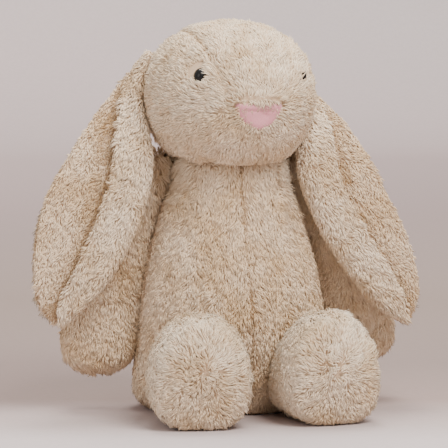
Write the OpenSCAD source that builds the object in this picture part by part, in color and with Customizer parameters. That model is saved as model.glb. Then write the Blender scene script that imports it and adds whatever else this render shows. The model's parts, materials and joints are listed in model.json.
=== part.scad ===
// Sitting plush rabbit with long lop ears. It faces -Y and sits on the plane Z = 0.
// Its own left side is +X. Each panel of cloth, wad of stuffing and bead is its own solid.

/* [Cloth] */
// Thickness of the plush cloth, without its pile
skin = 2; // [1.5:0.5:3]
// Play between a skin and what is inside it
play = 0.3; // [0.2:0.1:0.6]

/* [Torso] */
// Half of the torso's greatest width
torso_half_w = 74; // [72:1:76]
// Radius of the round neck end, which the head's hollow seat turns on
neck_r = 40; // [38:1:41]
// Half the width of the open neck, as an angle from the neck's axis
neck_open = 32; // [24:1:40]

/* [Head] */
// Half of the head's width, depth and height
head_half = [64, 60.5, 57];
// How far the head is turned towards the rabbit's left
head_turn = 6; // [0:0.5:10]
// How far the muzzle stands out
muzzle = 6; // [3:0.5:8]
// Width of the nose patch, as an angle on each side of its middle
nose_half = 18; // [15:0.5:20]
// Diameter of each bead eye
eye_d = 12; // [10:0.5:14]

/* [Ears] */
// Thickness of an ear leaf's outer cloth and of its lining
ear_layer = 2.4; // [2:0.1:2.8]
// Radius of the lengthwise fold
fold_r = 6.5; // [5:0.5:7]

/* [Limbs] */
// Scale of the arms' thickness
arm_plump = 1; // [0.9:0.02:1.02]
// How far the left arm hangs further out than the right one, as an angle
arm_out = 3; // [0:0.5:5]
// Half of a sole's width
sole_half_w = 36; // [32:0.5:36.5]
// Distance of each hip from the middle plane
foot_x = 43.5; // [40:0.5:45]
// How far each foot points outwards
toe_out = 7; // [0:1:9]

/* [Hidden] */

plush = [0.80, 0.73, 0.64];
plush_light = [0.85, 0.79, 0.71];
wadding = [0.95, 0.95, 0.93];
velvet = [0.86, 0.62, 0.66];
bead = [0.04, 0.04, 0.04];
pellets = [0.80, 0.82, 0.86];

neck_centre = [0, 2, 175];
seat_gap = 3.8;
// Play round each wad, where its facets and its skin's don't match
wad_play = 1.5;
head_centre = [-2, -8, 244.5];

// ---- Curves and closed skins ----

// Smooth curve through evenly spaced stations, at t from 0 to 1
function curve(t, v) =
    let (n = len(v) - 1, s = min(max(t, 0), 1) * n, i = min(floor(s), n - 1), f = s - i)
    let (a = v[max(i - 1, 0)], b = v[i], c = v[i + 1], d = v[min(i + 2, n)])
    b + 0.5 * f * (c - a + f * (2 * a - 5 * b + 4 * c - d + f * (3 * (b - c) + d - a)));

function mix(a, b, t) = a + (b - a) * t;
function flatten(grid) = [for (row = grid) for (p = row) p];
function mirrored(grid) = [for (row = grid) [for (p = row) [-p.x, p.y, p.z]]];
function backwards(grid) = [for (row = grid) [for (i = [len(row) - 1:-1:0]) row[i]]];
function mean(row) = [for (k = [0:2]) [for (p = row) p[k]] * [for (p = row) 1 / len(row)]];

// Two triangles for the patch with corners a, b, c, d
function patch(a, b, c, d) = [[a, b, c], [a, c, d]];

// Cloth panel between an outer and an inner grid of points, closed round its four edges
module panel(outer, inner) {
    rows = len(outer);
    cols = len(outer[0]);
    n = rows * cols;
    faces = [
        for (i = [0:rows - 2]) for (j = [0:cols - 2]) let (a = i * cols + j)
            each concat(patch(a, a + cols, a + cols + 1, a + 1),
                        patch(n + a, n + a + 1, n + a + cols + 1, n + a + cols)),
        for (j = [0:cols - 2]) let (a = j, b = (rows - 1) * cols + j)
            each concat(patch(a, a + 1, n + a + 1, n + a),
                        patch(b + 1, b, n + b, n + b + 1)),
        for (i = [0:rows - 2]) let (a = i * cols, b = i * cols + cols - 1)
            each concat(patch(a + cols, a, n + a, n + a + cols),
                        patch(b, b + cols, n + b + cols, n + b))
    ];
    polyhedron(concat(flatten(outer), flatten(inner)), faces, convexity = 8);
}

// Bowl of cloth between two grids whose rows are closed loops, from its rim to its middle
module bowl(outer, outer_tip, inner, inner_tip) {
    rows = len(outer);
    cols = len(outer[0]);
    n = rows * cols;
    last = (rows - 1) * cols;
    faces = [
        for (i = [0:rows - 2]) for (j = [0:cols - 1])
            let (a = i * cols + j, b = i * cols + (j + 1) % cols)
            each concat(patch(a, a + cols, b + cols, b),
                        patch(n + a, n + b, n + b + cols, n + a + cols)),
        for (j = [0:cols - 1]) let (b = (j + 1) % cols)
            each concat([[last + j, 2 * n, last + b], [n + last + j, n + last + b, 2 * n + 1]],
                        patch(j, b, n + b, n + j))
    ];
    polyhedron(concat(flatten(outer), flatten(inner), [outer_tip, inner_tip]), faces, convexity = 8);
}

// Closed solid through rings of points
module lump(rings) {
    rows = len(rings);
    cols = len(rings[0]);
    n = rows * cols;
    last = (rows - 1) * cols;
    faces = [
        for (i = [0:rows - 2]) for (j = [0:cols - 1])
            let (a = i * cols + j, b = i * cols + (j + 1) % cols)
            each patch(a, a + cols, b + cols, b),
        for (j = [0:cols - 1]) let (b = (j + 1) % cols)
            each [[j, b, n], [last + b, last + j, n + 1]]
    ];
    polyhedron(concat(flatten(rings), [mean(rings[0]), mean(rings[rows - 1])]), faces, convexity = 6);
}

// ---- Torso ----

// Height, half width, half depth and middle in Y of the torso at even steps up it
torso_stations = [
    [skin, 62, 50, 0], [12, 74, 56, -2], [30, torso_half_w, 60, -4], [55, 71.5, 61.5, -6],
    [84, 69, 60, -6], [112, 64.5, 54, -4], [139, 57.5, 47, 0], [162, 48, 42, 1.5],
    [neck_centre.z, neck_r, neck_r, neck_centre.y]
];
torso_steps = 13;
neck_steps = 4;
torso_rings = concat(
    [for (i = [0:torso_steps]) curve(i / torso_steps, torso_stations)],
    [for (i = [1:neck_steps]) let (b = (90 - neck_open) * i / neck_steps)
        [neck_centre.z + neck_r * sin(b), neck_r * cos(b), neck_r * cos(b), neck_centre.y]]
);

// Ring of the torso grown outwards by grow; the neck end also grows upwards
function torso_point(ring, a, grow) =
    let (lift = ring.x > neck_centre.z ? grow * (ring.x - neck_centre.z) / neck_r : 0)
    let (side = ring.x > neck_centre.z ? grow * ring.y / neck_r : grow)
    [(ring.y + side) * cos(a), ring[3] + (ring[2] + side) * sin(a), ring.x + lift];

function torso_grid(a0, a1, grow) =
    [for (ring = torso_rings) [for (k = [0:8]) torso_point(ring, mix(a0, a1, k / 8), grow)]];

module torso_panel(a0) {
    color(plush) panel(torso_grid(a0, a0 + 90, 0), torso_grid(a0, a0 + 90, -skin));
}

module base_panel() {
    color(plush) linear_extrude(skin)
        polygon([for (a = [0:10:350]) [torso_stations[0].y * cos(a), torso_stations[0][2] * sin(a)]]);
}

// Height where the pellet pouch ends and the wadding starts
pouch_top = 22;
function torso_at(z) =
    [for (k = [1:3]) lookup(z, [for (ring = torso_rings) [ring.x, ring[k]]])];
function torso_slice(z, inset) = let (s = torso_at(z))
    [for (a = [0:15:345]) [(s.x - inset) * cos(a), s[2] + (s.y - inset) * sin(a), z]];

module torso_stuffing() {
    inset = skin + wad_play / 2;
    heights = [pouch_top + play, 34, 48, 62, 77, 92, 107, 121, 135, 148, 158, 166, 172];
    r = neck_r - inset;
    top = [for (i = [0:5]) let (b = mix(4, 80, i / 5))
        [for (a = [0:15:345]) neck_centre + r * [cos(b) * cos(a), cos(b) * sin(a), sin(b)]]];
    color(wadding) lump(concat([for (z = heights) torso_slice(z, inset)], top));
}

module pellet_pouch() {
    color(pellets) lump([
        torso_slice(skin + play, 14), torso_slice(6, 8), torso_slice(13, 6),
        torso_slice(19, 8), torso_slice(pouch_top, 14)
    ]);
}

// ---- Tail ----

tail_r = 20;
tail_centre = [0, 69.5, 34];
// Distance from the tail's middle to the plane where it is sewn to the back
tail_sewn = 13;

// Profile of a cut ball of radius r: its arc from the cut to the far pole
function tail_arc(r) = let (first = -asin(tail_sewn / r))
    [for (i = [0:12]) let (b = mix(first, 90, i / 12)) [r * cos(b), r * sin(b)]];

module tail_turned(profile) {
    translate(tail_centre) rotate([-90, 0, 0]) rotate_extrude($fn = 48) polygon(profile);
}

module tail_skin() {
    inner = tail_arc(tail_r - skin);
    color(plush_light) tail_turned(concat(tail_arc(tail_r), [for (i = [12:-1:0]) inner[i]]));
}

module tail_stuffing() {
    color(wadding) tail_turned(concat([[0, -tail_sewn]], tail_arc(tail_r - skin - play)));
}

// ---- Head ----

// Fullness of the head: 2 is an ellipsoid, and more is squarer
head_fullness = 2.2;
// Pitch angle of the muzzle and its spread
muzzle_pitch = -14;
muzzle_spread = 30;

// Unit direction from the head's middle: phi turns from the nose over the crown, theta is sideways
function head_dir(phi, theta) = [sin(theta), -cos(theta) * cos(phi), cos(theta) * sin(phi)];
function turned(p, angle) = [p.x * cos(angle) - p.y * sin(angle), p.x * sin(angle) + p.y * cos(angle), p.z];
function muzzle_at(u) =
    let (away = acos(min(1, u * head_dir(muzzle_pitch, 0)))) muzzle * exp(-pow(away / muzzle_spread, 2));
// Lifts a point of the head's underside out of the ball that the neck turns in
function off_neck(p, r) =
    let (flat = pow(p.x - neck_centre.x, 2) + pow(p.y - neck_centre.y, 2))
    let (top = neck_centre.z + sqrt(max(0, r * r - flat)))
    flat < r * r && p.z < top ? [p.x, p.y, top] : p;
function head_raw(phi, theta, grow) =
    let (u = head_dir(phi, theta), n = head_fullness)
    let (swell = pow(pow(abs(u.x), n) + pow(abs(u.y), n) + pow(abs(u.z), n), -1 / n))
    head_centre + turned([for (k = [0:2]) u[k] * (head_half[k] * swell + muzzle_at(u) + grow)], head_turn);
function head_point(phi, theta, grow) =
    off_neck(head_raw(phi, theta, grow), neck_r + seat_gap - min(grow, 0));

// The gusset runs from the nose over the crown to the back of the neck
gusset_start = -4;
gusset_end = 236;
// Half width of the gusset as an angle, from its start to its end
gusset_halves = [19, 27, 32, 32, 30, 27, 22, 16];
function gusset_half(phi) =
    phi < gusset_start || phi > gusset_end ? 0
    : curve((phi - gusset_start) / (gusset_end - gusset_start), gusset_halves);
gusset_steps = 20;
gusset_angles = [for (i = [0:gusset_steps]) mix(gusset_start, gusset_end, i / gusset_steps)];
chin_angles = [for (phi = [246:14:344]) phi];

function gusset_grid(grow) =
    [for (phi = gusset_angles) [for (k = [-6:6]) head_point(phi, gusset_half(phi) * k / 6, grow)]];

module head_gusset() {
    color(plush_light) panel(gusset_grid(0), gusset_grid(-skin));
}

// Side panel's loops, from the gusset's seam and the chin seam out to the cheek's middle
side_start = 0.3;
side_rows = 6;
function side_loop(k, side, grow) =
    [for (phi = concat(gusset_angles, chin_angles))
        let (seam = max(gusset_half(phi), side_start))
        head_point(phi, side * mix(seam, 86, k / side_rows), grow)];
function side_grid(side, grow) = [for (k = [0:side_rows]) side_loop(k, side, grow)];

eye_phi = 23;
eye_theta = 38;
shank_r = 2.2;
shank_l = 13;
washer_r = 8;
washer_t = 2;
washer_depth = 5;

// Places its children at an eye, with +Z pointing out of the head
module at_eye(side) {
    u = head_dir(eye_phi, eye_theta);
    normal = [side * u.x / head_half.x, u.y / head_half.y, u.z / head_half.z];
    tip = head_point(eye_phi, side * eye_theta, 0);
    tilt = acos(normal.z / norm(normal));
    heading = atan2(normal.y, normal.x) + head_turn;
    translate(tip) rotate([0, tilt, heading]) children();
}

module head_side(side) {
    outer = side_grid(side, 0);
    inner = side_grid(side, -skin);
    outer_tip = head_point(0, side * 90, 0);
    inner_tip = head_point(0, side * 90, -skin);
    color(plush) difference() {
        if (side > 0) bowl(backwards(outer), outer_tip, backwards(inner), inner_tip);
        else bowl(outer, outer_tip, inner, inner_tip);
        at_eye(side) translate([0, 0, -shank_l]) cylinder(r = shank_r + play, h = 2 * shank_l, $fn = 24);
    }
}

module head_stuffing() {
    inset = -skin - 2.2 * wad_play;
    // Extra room under the wad, over the hollow seat
    dish_play = 9;
    color(wadding) difference() {
        lump([for (theta = [84:-12:-84]) [for (phi = [0:12:348])
            off_neck(head_raw(phi, theta, inset), neck_r + seat_gap + dish_play)]]);
        for (side = [-1, 1]) at_eye(side) translate([0, 0, -shank_l - 2])
            cylinder(r = washer_r + play, h = shank_l + 4, $fn = 32);
    }
}

// Domed bead with a shank that goes through the cloth
module eye(side) {
    dome_h = 4;
    color(bead) at_eye(side) union() {
        translate([0, 0, play]) intersection() {
            scale([1.08, 0.92, 1]) translate([0, 0, dome_h - eye_d / 2]) sphere(d = eye_d, $fn = 48);
            cylinder(r = eye_d, h = eye_d);
        }
        translate([0, 0, -shank_l]) cylinder(r = shank_r, h = shank_l + 1, $fn = 24);
    }
}

// Ring that grips the shank behind the cloth
module eye_washer(side) {
    color(pellets) at_eye(side) translate([0, 0, -washer_depth - washer_t]) difference() {
        cylinder(r = washer_r, h = washer_t, $fn = 32);
        translate([0, 0, -1]) cylinder(r = shank_r, h = washer_t + 2, $fn = 24);
    }
}

// Nose patch: a rounded triangle, point down, that follows the muzzle
nose_top = -2.5;
nose_drop = 17.5;
nose_t = 2.2;
nose_rows = 8;
function nose_grid(grow) = [for (i = [0:nose_rows])
    let (t = i / nose_rows, half = nose_half * (1 - 0.9 * pow(t, 1.4)) * min(1, 0.86 + 1.2 * t))
    [for (k = [-6:6]) head_raw(nose_top - nose_drop * t, half * k / 6, grow)]];

module nose() {
    color(velvet) panel(backwards(nose_grid(play + nose_t)), backwards(nose_grid(play)));
}

// ---- Ears ----

// Edges of each ear at even steps from root to tip: the fold's side, then the free side
ear_fold_left = [
    [60, 22, 259], [68, 13, 236], [58, -6, 208], [56, -15, 185], [62, -21, 162],
    [73, -26, 137], [88, -29, 113], [105, -30, 90], [123, -30, 73]
];
ear_free_left = [
    [60, 38, 261], [83, 30, 241], [102, 7, 218], [113, -9, 196], [124, -19, 169],
    [136, -25, 142], [145, -29, 113], [147, -30, 86], [139, -30, 66]
];
ear_fold_right = [
    [60, 11, 276], [72, 6, 250], [70, -5, 219], [69, -15, 193], [75, -21, 168],
    [86, -26, 142], [100, -29, 117], [116, -30, 96], [134, -30, 80]
];
ear_free_right = [
    [56, 25, 279], [79, 26, 258], [108, 7, 227], [132, -10, 197], [149, -18, 168],
    [158, -24, 139], [160, -29, 112], [157, -30, 89], [146, -30, 74]
];
// Share of the width that the front flap covers, from root to tip
flap_share = [0.62, 0.56, 0.49, 0.42, 0.39, 0.42, 0.49, 0.63, 0.8];
// Share of the fold's radius, from root to tip
fold_share = [0.25, 0.35, 0.7, 1, 1, 1, 1, 0.9, 0.6];

ear_steps = 14;
fold_steps = 6;
leaf_steps = 5;

// Line across the folded ear, as [across, depth] pairs: back leaf, fold, front flap.
// across runs from the fold to the free edge, and out moves the line away from the fold's middle
function fold_line(width, share, radius, out) =
    let (r = min(radius, width / 2 - 0.5), back = width - r - 0.5, front = max(width * share - r, 1))
    concat(
        [for (i = [0:leaf_steps - 1]) [r + back * (1 - i / leaf_steps), r + out]],
        [for (i = [0:fold_steps]) let (a = 180 * i / fold_steps)
            [r - (r + out) * sin(a), (r + out) * cos(a)]],
        [for (i = [1:leaf_steps]) [r + front * i / leaf_steps, -r - out]]
    );

function unit(v) = v / norm(v);
// Middle of the ear's two edges
function ear_middle(t, fold, free) = (curve(t, fold) + curve(t, free)) / 2;
// Small step along the ear, which gives its direction
ear_nudge = 0.02;
function ear_row(t, fold, free, out) =
    let (a = curve(t, fold), b = curve(t, free), across = unit(b - a))
    let (run = ear_middle(t + ear_nudge, fold, free) - ear_middle(t - ear_nudge, fold, free))
    let (thick = unit(cross(across, run)))
    [for (p = fold_line(norm(b - a), curve(t, flap_share), fold_r * curve(t, fold_share), out))
        a + across * p.x + thick * p.y];
function ear_grid(fold, free, out) = [for (i = [0:ear_steps]) ear_row(i / ear_steps, fold, free, out)];

module ear_sheet(side, out_a, out_b) {
    fold = side > 0 ? ear_fold_left : ear_fold_right;
    free = side > 0 ? ear_free_left : ear_free_right;
    a = ear_grid(fold, free, out_a);
    b = ear_grid(fold, free, out_b);
    color(plush_light) if (side > 0) panel(backwards(a), backwards(b));
    else panel(mirrored(a), mirrored(b));
}

module ear_outer(side) {
    ear_sheet(side, ear_layer, 0.05);
}

module ear_lining(side) {
    ear_sheet(side, -0.05, -ear_layer);
}

// ---- Limbs ----

// Middle in X, Y and Z, then half width and half depth of an arm, from shoulder to paw
arm_stations = [
    [51, 18, 200, 5, 5], [55, 18, 190, 11.5, 10.5], [63, 18, 172, 16.5, 14], [71.5, 19, 152, 20.5, 17],
    [82, 19, 126, 24, 18.5], [91, 18, 98, 27.5, 19.5], [98.5, 15, 70, 30, 20], [101.5, 12, 50, 29.5, 19.5],
    [103, 11, 37, 23, 16], [104, 11, 30, 9, 6]
];
arm_steps = 14;
arm_inner_span = 0.03;

function arm_point(t, a, inset) = let (s = curve(t, arm_stations))
    [s.x + (s[3] * arm_plump - inset) * cos(a), s.y + (s[4] - inset) * sin(a), s.z];
function arm_grid(a0, inset) = [for (i = [0:arm_steps])
    let (t = inset > 0 ? mix(arm_inner_span, 1 - arm_inner_span, i / arm_steps) : i / arm_steps)
    [for (k = [0:8]) arm_point(t, a0 + 22.5 * k, inset)]];

module sided(side) {
    if (side > 0) children();
    else mirror([1, 0, 0]) children();
}

shoulder = [51, 18, 190];
module arm_placed(side) {
    sided(side) translate(shoulder) rotate([0, side > 0 ? -arm_out : 0, 0]) translate(-shoulder) children();
}

module arm_panel(side, a0) {
    color(plush) arm_placed(side) panel(backwards(arm_grid(a0, 0)), backwards(arm_grid(a0, skin)));
}

module arm_stuffing(side) {
    color(wadding) arm_placed(side) lump([for (i = [12:-1:0])
        [for (a = [0:22.5:337.5]) arm_point(mix(0.09, 0.91, i / 12), a, skin + wad_play)]]);
}

// Share of the way forward, half width, half height of a leg, from hip to sole
leg_stations = [
    [0, 14, 15], [0.04, 25, 27], [0.2, 30, 33], [0.45, 33, 38], [0.75, sole_half_w, 41.5], [1, 34, 40]
];
hip_y = -46;
rim_y = -114;
leg_lift = 0.4;
// How much higher the hip's middle is than the foot's
hip_rise = 5;
leg_steps = 11;
// Narrowing of the foot towards its top
foot_taper = 0.17;

// Makes a leg's outline squarer than an ellipse
leg_fullness = 0.86;
function fuller(v) = sign(v) * pow(abs(v), leg_fullness);
function torso_front(x, z) = let (s = torso_at(min(max(z, skin), 170)))
    s[2] - s.y * sqrt(max(0, 1 - pow(min(abs(x) / s.x, 1), 2)));
function leg_point(t, a, inset) =
    let (s = curve(t, leg_stations), rise = sin(a), turn = toe_out * min(1, 2 * s.x))
    let (x = (s.y - inset) * fuller(cos(a)) * (1 - foot_taper * rise))
    let (z = leg_lift + hip_rise * (1 - t) + s[2] + (s[2] - inset) * fuller(rise))
    let (root = min(torso_front(foot_x + x, z) - 1.5, hip_y) - inset)
    [foot_x, hip_y, 0] + turned([x, mix(root, rim_y, s.x) - hip_y, z], turn);
function leg_grid(a0, inset) = [for (i = [0:leg_steps])
    let (t = i / leg_steps)
    [for (k = [0:8]) leg_point(t, a0 + 22.5 * k, inset)]];

module leg_panel(side, a0) {
    color(plush) sided(side) panel(leg_grid(a0, 0), leg_grid(a0, skin));
}

sole_bulge = 9;
// Rings of the sole, shrinking from its rim towards its middle
sole_out = [sin(toe_out), -cos(toe_out), 0];
function sole_ring(k, out) =
    let (rim = [for (a = [0:15:345]) leg_point(1, a, 0)], mid = mean(rim))
    [for (p = rim) mid + (p - mid) * cos(k) + sole_out * (sole_bulge * sin(k) + out)];
sole_angles = [0, 18, 36, 54, 72];

module sole(side) {
    mid = mean(sole_ring(0, 0));
    color(plush_light) sided(side) bowl(
        [for (k = sole_angles) sole_ring(k, play + skin)], mid + sole_out * (sole_bulge + skin + play),
        [for (k = sole_angles) sole_ring(k, play)], mid + sole_out * (sole_bulge + play));
}

// Share of the way forward where the wadding ends and the foot's pellets start
pellets_from = 0.78;
module leg_stuffing(side) {
    color(wadding) sided(side) lump([for (i = [0:8])
        [for (a = [0:22.5:337.5]) leg_point(mix(0.14, pellets_from, i / 8), a, skin + wad_play)]]);
}

module foot_pellets(side) {
    color(pellets) sided(side) lump([for (q = [[0, 10], [0.3, 6], [0.7, 6], [1, 10]])
        [for (a = [0:18:342]) leg_point(mix(pellets_from + 0.02, 0.97, q.x), a, q.y)]]);
}

torso_panel(-90);  // torso_front_left
torso_panel(-180);  // torso_front_right
torso_panel(0);  // torso_back_left
torso_panel(90);  // torso_back_right
base_panel();
torso_stuffing();
pellet_pouch();
tail_skin();
tail_stuffing();
head_side(1);  // head_side_left
head_side(-1);  // head_side_right
head_gusset();
head_stuffing();
eye(1);  // eye_left
eye(-1);  // eye_right
eye_washer(1);  // eye_washer_left
eye_washer(-1);  // eye_washer_right
nose();
ear_outer(1);  // ear_outer_left
ear_outer(-1);  // ear_outer_right
ear_lining(1);  // ear_lining_left
ear_lining(-1);  // ear_lining_right
arm_panel(1, 180);  // arm_front_left
arm_panel(-1, 180);  // arm_front_right
arm_panel(1, 0);  // arm_back_left
arm_panel(-1, 0);  // arm_back_right
arm_stuffing(1);  // arm_stuffing_left
arm_stuffing(-1);  // arm_stuffing_right
leg_panel(1, 90);  // leg_inner_left
leg_panel(-1, 90);  // leg_inner_right
leg_panel(1, -90);  // leg_outer_left
leg_panel(-1, -90);  // leg_outer_right
sole(1);  // sole_left
sole(-1);  // sole_right
leg_stuffing(1);  // leg_stuffing_left
leg_stuffing(-1);  // leg_stuffing_right
foot_pellets(1);  // foot_pellets_left
foot_pellets(-1);  // foot_pellets_right
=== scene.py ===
"""Plush rabbit: cloth forms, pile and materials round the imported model."""
import json
import math

import bmesh
import bpy
import numpy as np
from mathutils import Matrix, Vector
from mathutils.bvhtree import BVHTree
from mathutils.kdtree import KDTree


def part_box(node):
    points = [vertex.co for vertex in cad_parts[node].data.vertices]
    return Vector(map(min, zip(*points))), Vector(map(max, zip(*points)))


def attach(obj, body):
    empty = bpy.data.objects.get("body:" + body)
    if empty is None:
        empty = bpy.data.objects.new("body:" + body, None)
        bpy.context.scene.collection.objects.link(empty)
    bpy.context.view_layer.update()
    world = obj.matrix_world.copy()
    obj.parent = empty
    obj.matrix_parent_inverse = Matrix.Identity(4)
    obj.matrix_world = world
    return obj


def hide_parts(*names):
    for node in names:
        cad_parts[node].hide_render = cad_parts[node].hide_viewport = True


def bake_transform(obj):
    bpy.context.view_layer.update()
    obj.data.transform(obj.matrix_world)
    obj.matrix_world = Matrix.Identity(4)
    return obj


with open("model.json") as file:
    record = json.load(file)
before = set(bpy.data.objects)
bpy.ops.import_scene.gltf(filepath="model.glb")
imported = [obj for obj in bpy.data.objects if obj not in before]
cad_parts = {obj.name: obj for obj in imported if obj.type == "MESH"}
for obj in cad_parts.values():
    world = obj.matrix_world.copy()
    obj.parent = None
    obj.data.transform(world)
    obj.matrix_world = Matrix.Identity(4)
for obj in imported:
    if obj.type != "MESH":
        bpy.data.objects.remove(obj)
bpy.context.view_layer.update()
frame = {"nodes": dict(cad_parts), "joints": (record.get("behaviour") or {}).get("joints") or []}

MM = 0.001
SIDES = ("left", "right")
SIDE_SIGN = {"left": 1.0, "right": -1.0}

# ---- Driving values ----

# Cloth forms: their mesh size, rounds of smoothing, and swelling under pressure
VOXEL = 4.5 * MM
TAIL_VOXEL = 2.5 * MM
EAR_VOXEL = 1.1 * MM
ROUNDS = {"torso": 4, "head": 4, "arm": 8, "leg": 12, "tail": 2, "ear": 3}
SMOOTH_IN, SMOOTH_OUT = 0.5, -0.52
INFLATE_CAP = 4.0 * MM
INFLATE_PRESSURE = 4.0
INFLATE_FRAMES = 20
INFLATE_SHARE = 0.6
STUFFING_GAP = 0.5 * MM

# Seams: how near two sewn edges lie, how deep the cloth is pulled in, and how the pile parts, with painted
# shade darkening the pile along the parting
SEWN_WITHIN = 0.15 * MM
SEAM_DEPTH = 1.6 * MM
SEAM_WIDTH = 3.0 * MM
PARTING_WIDTH = 2.2 * MM
PARTING_SHORTER, PARTING_PAINTED_SHADE = 0.6, 0.5

# Pile: the spacing of its tufts, their length and width, and how much these vary
PILE_SPACING = 0.94 * MM
PILE_LENGTH = 9.5 * MM
PILE_WIDTH = 1.15 * MM
LENGTH_SPREAD = (0.72, 1.12)
WIDTH_SPREAD = (0.7, 1.25)
ROOT_DEPTH = 0.8 * MM
FLOOR_CLEARANCE = 0.4 * MM
TONE, TONE_SPREAD = 0.6, 0.1
# Roots in each wisp, and how closely its tufts' middles and tips draw together
WISP = 5
WISP_MIDDLE, WISP_TIP, WISP_HOLD = 0.75, 0.30, 0.6
# Sizes of the waves that sway and curl the pile, and how much each tuft strays on its own
SWAY_WIDE, SWAY_FINE, CURL_SIZE = 16 * MM, 6 * MM, 9 * MM
WAVES = 10
STRAY = 0.14
RISE_SPREAD = 8
BEND = 0.7

CAMERA_AZIMUTH = -15.0
CAMERA_ELEVATION = 5.0
CAMERA_DISTANCE = 2.3
CAMERA_AIM = Vector((-0.004, 0.0, 0.1441))
VIEW_WIDTH = 0.352
SENSOR = 36.0


# ---- Mesh helpers ----

def node_mesh(*names):
    """Vertices and faces of the named CAD nodes, joined."""
    points, faces = [], []
    for name in names:
        mesh = frame["nodes"][name].data
        start = len(points)
        points += [tuple(v.co) for v in mesh.vertices]
        faces += [tuple(start + i for i in p.vertices) for p in mesh.polygons]
    return points, faces


def add_object(name, mesh):
    thing = bpy.data.objects.new(name, mesh)
    bpy.context.scene.collection.objects.link(thing)
    return thing


def coordinates(mesh):
    flat = np.empty(len(mesh.vertices) * 3, np.float32)
    mesh.vertices.foreach_get("co", flat)
    return flat.reshape(-1, 3).astype(float)


def set_coordinates(mesh, points):
    mesh.vertices.foreach_set("co", np.ascontiguousarray(points, np.float32).ravel())
    mesh.update()


def vertex_normals(mesh):
    flat = np.empty(len(mesh.vertices) * 3, np.float32)
    mesh.vertex_normals.foreach_get("vector", flat)
    return flat.reshape(-1, 3).astype(float)


def unit(v):
    return v / np.maximum(np.linalg.norm(v, axis=-1, keepdims=True), 1e-9)


def apply_modifiers(thing):
    """Replaces a thing's mesh with what its modifiers make of it."""
    graph = bpy.context.evaluated_depsgraph_get()
    made = bpy.data.meshes.new_from_object(thing.evaluated_get(graph))
    old = thing.data
    thing.modifiers.clear()
    thing.data = made
    bpy.data.meshes.remove(old)


def keep_largest_island(mesh):
    """Drops everything but the outer surface that a voxel remesh leaves."""
    bm = bmesh.new()
    bm.from_mesh(mesh)
    left, best = set(bm.verts), []
    while left:
        seed = left.pop()
        island, stack = [seed], [seed]
        while stack:
            for edge in stack.pop().link_edges:
                for vert in edge.verts:
                    if vert in left:
                        left.remove(vert)
                        island.append(vert)
                        stack.append(vert)
        if len(island) > len(best):
            best = island
    keep = set(best)
    bmesh.ops.delete(bm, geom=[v for v in bm.verts if v not in keep], context="VERTS")
    bm.to_mesh(mesh)
    bm.free()


def smooth_points(mesh, rounds):
    """Taubin smoothing, which keeps the volume."""
    points = coordinates(mesh)
    edges = np.empty(len(mesh.edges) * 2, np.int32)
    mesh.edges.foreach_get("vertices", edges)
    a, b = edges.reshape(-1, 2).T
    count = np.bincount(np.concatenate([a, b]), minlength=len(points))[:, None]
    for step in range(rounds * 2):
        total = np.zeros_like(points)
        for k in range(3):
            total[:, k] = (np.bincount(a, points[b, k], len(points))
                           + np.bincount(b, points[a, k], len(points)))
        factor = SMOOTH_IN if step % 2 == 0 else SMOOTH_OUT
        points += factor * (total / np.maximum(count, 1) - points)
    set_coordinates(mesh, points)


def remeshed(name, nodes, voxel, rounds):
    """One closed form round the named CAD nodes."""
    points, faces = node_mesh(*nodes)
    mesh = bpy.data.meshes.new(name)
    mesh.from_pydata(points, [], faces)
    thing = add_object(name, mesh)
    modifier = thing.modifiers.new("remesh", "REMESH")
    modifier.mode = "VOXEL"
    modifier.voxel_size = voxel
    apply_modifiers(thing)
    keep_largest_island(thing.data)
    smooth_points(thing.data, rounds)
    return thing


def subdivided(thing, levels=1):
    modifier = thing.modifiers.new("subdivide", "SUBSURF")
    modifier.levels = levels
    apply_modifiers(thing)
    thing.data.shade_smooth()


def inflate(things):
    """Lets the cloth of each form swell under pressure, and caps how far it moves."""
    scene = bpy.context.scene
    rest = {}
    for thing in things:
        rest[thing] = coordinates(thing.data)
        cloth = thing.modifiers.new("cloth", "CLOTH")
        cloth.settings.use_pressure = True
        cloth.settings.uniform_pressure_force = INFLATE_PRESSURE
        cloth.settings.effector_weights.gravity = 0
        cloth.point_cache.frame_start = 1
        cloth.point_cache.frame_end = INFLATE_FRAMES
    for number in range(1, INFLATE_FRAMES + 1):
        scene.frame_set(number)
    graph = bpy.context.evaluated_depsgraph_get()
    swollen = {t: coordinates(t.evaluated_get(graph).data) for t in things}
    for thing in things:
        move = swollen[thing] - rest[thing]
        size = np.linalg.norm(move, axis=1, keepdims=True)
        move *= np.minimum(1.0, INFLATE_CAP / np.maximum(size, 1e-9))
        thing.modifiers.clear()
        set_coordinates(thing.data, rest[thing] + move * INFLATE_SHARE)
    scene.frame_set(1)


def tree_of(*names):
    points, faces = node_mesh(*names)
    return BVHTree.FromPolygons(points, faces)


def keep_over(thing, names, gap):
    """Keeps a form's surface at least gap outside the CAD nodes that it covers."""
    tree = tree_of(*names)
    points = coordinates(thing.data)
    for i, p in enumerate(points):
        near, normal, _, _ = tree.find_nearest(Vector(p))
        if (Vector(p) - near).dot(normal) < gap:
            points[i] = near + normal * gap
    set_coordinates(thing.data, points)


def seam_points(pairs):
    """Points a millimetre apart along the edges that two sewn CAD panels share."""
    found = []
    for one, other in pairs:
        mesh = frame["nodes"][one].data
        other_points = coordinates(frame["nodes"][other].data)
        tree = KDTree(len(other_points))
        for i, p in enumerate(other_points):
            tree.insert(p, i)
        tree.balance()
        shared = [tree.find(v.co)[2] < SEWN_WITHIN for v in mesh.vertices]
        for edge in mesh.edges:
            a, b = edge.vertices
            if shared[a] and shared[b]:
                pa, pb = mesh.vertices[a].co, mesh.vertices[b].co
                steps = max(1, int((pb - pa).length / MM))
                found += [pa.lerp(pb, k / steps) for k in range(steps + 1)]
    return found


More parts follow.
